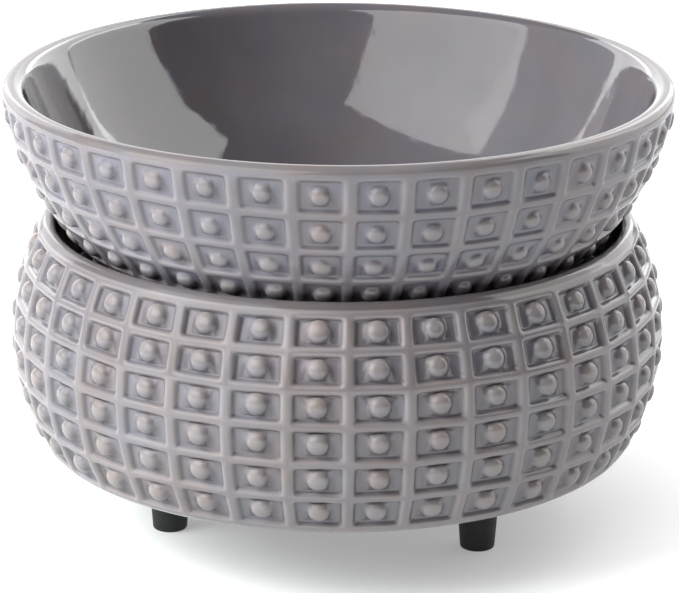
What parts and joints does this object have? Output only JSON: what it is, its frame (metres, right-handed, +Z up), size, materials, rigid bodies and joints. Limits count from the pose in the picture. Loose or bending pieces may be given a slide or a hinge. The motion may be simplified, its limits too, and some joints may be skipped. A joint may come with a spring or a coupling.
{
  "type": "wax melt warmer",
  "caption": "Round electric wax melt warmer: a glazed stoneware dish with a raised dotted grid lifts off a matching barrel base that holds a heating plate.",
  "frame": {"origin": "on the surface that the feet stand on, under the centre of the dish", "axes": "+Z up, the axis of the dish and base; the pictured front faces -Y, with +X to its right"},
  "size_m": [0.152, 0.152, 0.1033],
  "materials": {
    "dish_glaze": "glossy grey glaze over a raised grid, smooth inside",
    "base_glaze": "glossy grey glaze over a raised grid",
    "foot_rubber": "black moulded rubber",
    "plate_aluminium": "turned face",
    "silicone": "soft silicone",
    "mica": "silvery mica sheet",
    "heater_foil": "resistance foil",
    "ceramic_fibre": "white felted fibre",
    "steel": "rolled steel sheet",
    "fastener_steel": "zinc-plated",
    "brass": "turned brass",
    "cutoff_case": "drawn case",
    "terminal_nylon": "moulded nylon",
    "live_sleeve": "brown heatproof sleeve",
    "neutral_sleeve": "blue heatproof sleeve",
    "cover_plastic": "black moulded plastic",
    "bushing_plastic": "black nylon"
  },
  "bodies": {
    "base": {"base_shell": "base_glaze", "foot_left": "foot_rubber", "foot_right": "foot_rubber", "foot_rear": "foot_rubber", "warming_plate": "plate_aluminium", "plate_gasket": "silicone", "cover_seal": "silicone", "upper_mica_sheet": "mica", "lower_mica_sheet": "mica", "heating_element": "heater_foil", "insulation_pad": "ceramic_fibre", "clamp_plate": "steel", "cutoff_clip": "steel", "plate_studs": "fastener_steel", "stud_washers": "fastener_steel", "stud_nuts": "fastener_steel", "clip_screw": "fastener_steel", "cover_screws": "fastener_steel", "foot_screws": "fastener_steel", "foot_washers": "fastener_steel", "block_screw": "fastener_steel", "terminal_screws": "fastener_steel", "support_pillars": "brass", "terminal_inserts": "brass", "thermal_cutoff": "cutoff_case", "terminal_block": "terminal_nylon", "live_lead": "live_sleeve", "cutoff_lead": "live_sleeve", "neutral_lead": "neutral_sleeve", "bottom_cover": "cover_plastic", "cord_bushing": "bushing_plastic"},
    "dish": {"wax_dish": "dish_glaze"}
  },
  "joints": [
    {"name": "dish_lift", "type": "slide", "parent": "base", "child": "dish", "axis": [0, 0, 1], "range_m": [0, 0.06]}
  ]
}
